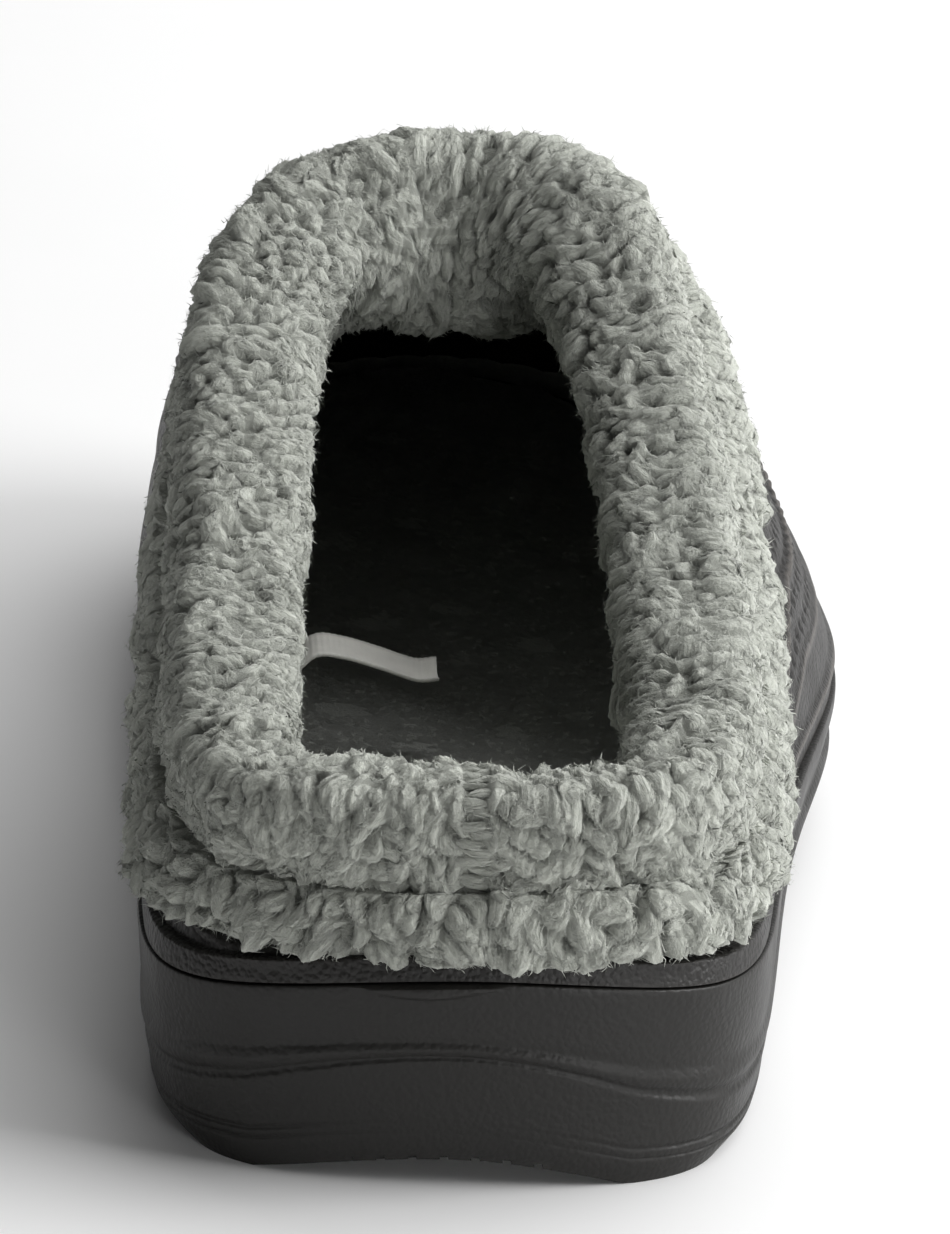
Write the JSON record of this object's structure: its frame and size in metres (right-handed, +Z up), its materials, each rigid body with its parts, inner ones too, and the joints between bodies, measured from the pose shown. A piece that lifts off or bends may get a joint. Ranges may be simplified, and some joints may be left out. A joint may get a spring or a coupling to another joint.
{
  "type": "fleece-lined clog",
  "caption": "Right-foot slip-on clog: dark moulded-foam sole and hollow upper, with a curly fleece lining turned over the low collar as a thick cuff.",
  "frame": {"origin": "on the floor under the middle of the shoe's box", "axes": "+Y from heel to toe, +X to the outer side of the right foot, +Z up from the floor"},
  "size_m": [0.11, 0.2956, 0.1082],
  "materials": {
    "sole_foam": "satin-matte moulded foam",
    "upper_foam": "satin-matte moulded foam with a fine leather grain",
    "fleece": "curly deep-pile fleece",
    "insole_fleece": "short curly fleece",
    "ribbon": "blank ribbed woven ribbon"
  },
  "bodies": {
    "root": {"sole": "sole_foam", "upper": "upper_foam", "fleece_cuff": "fleece", "insole": "insole_fleece", "label_ribbon": "ribbon"}
  },
  "joints": []
}
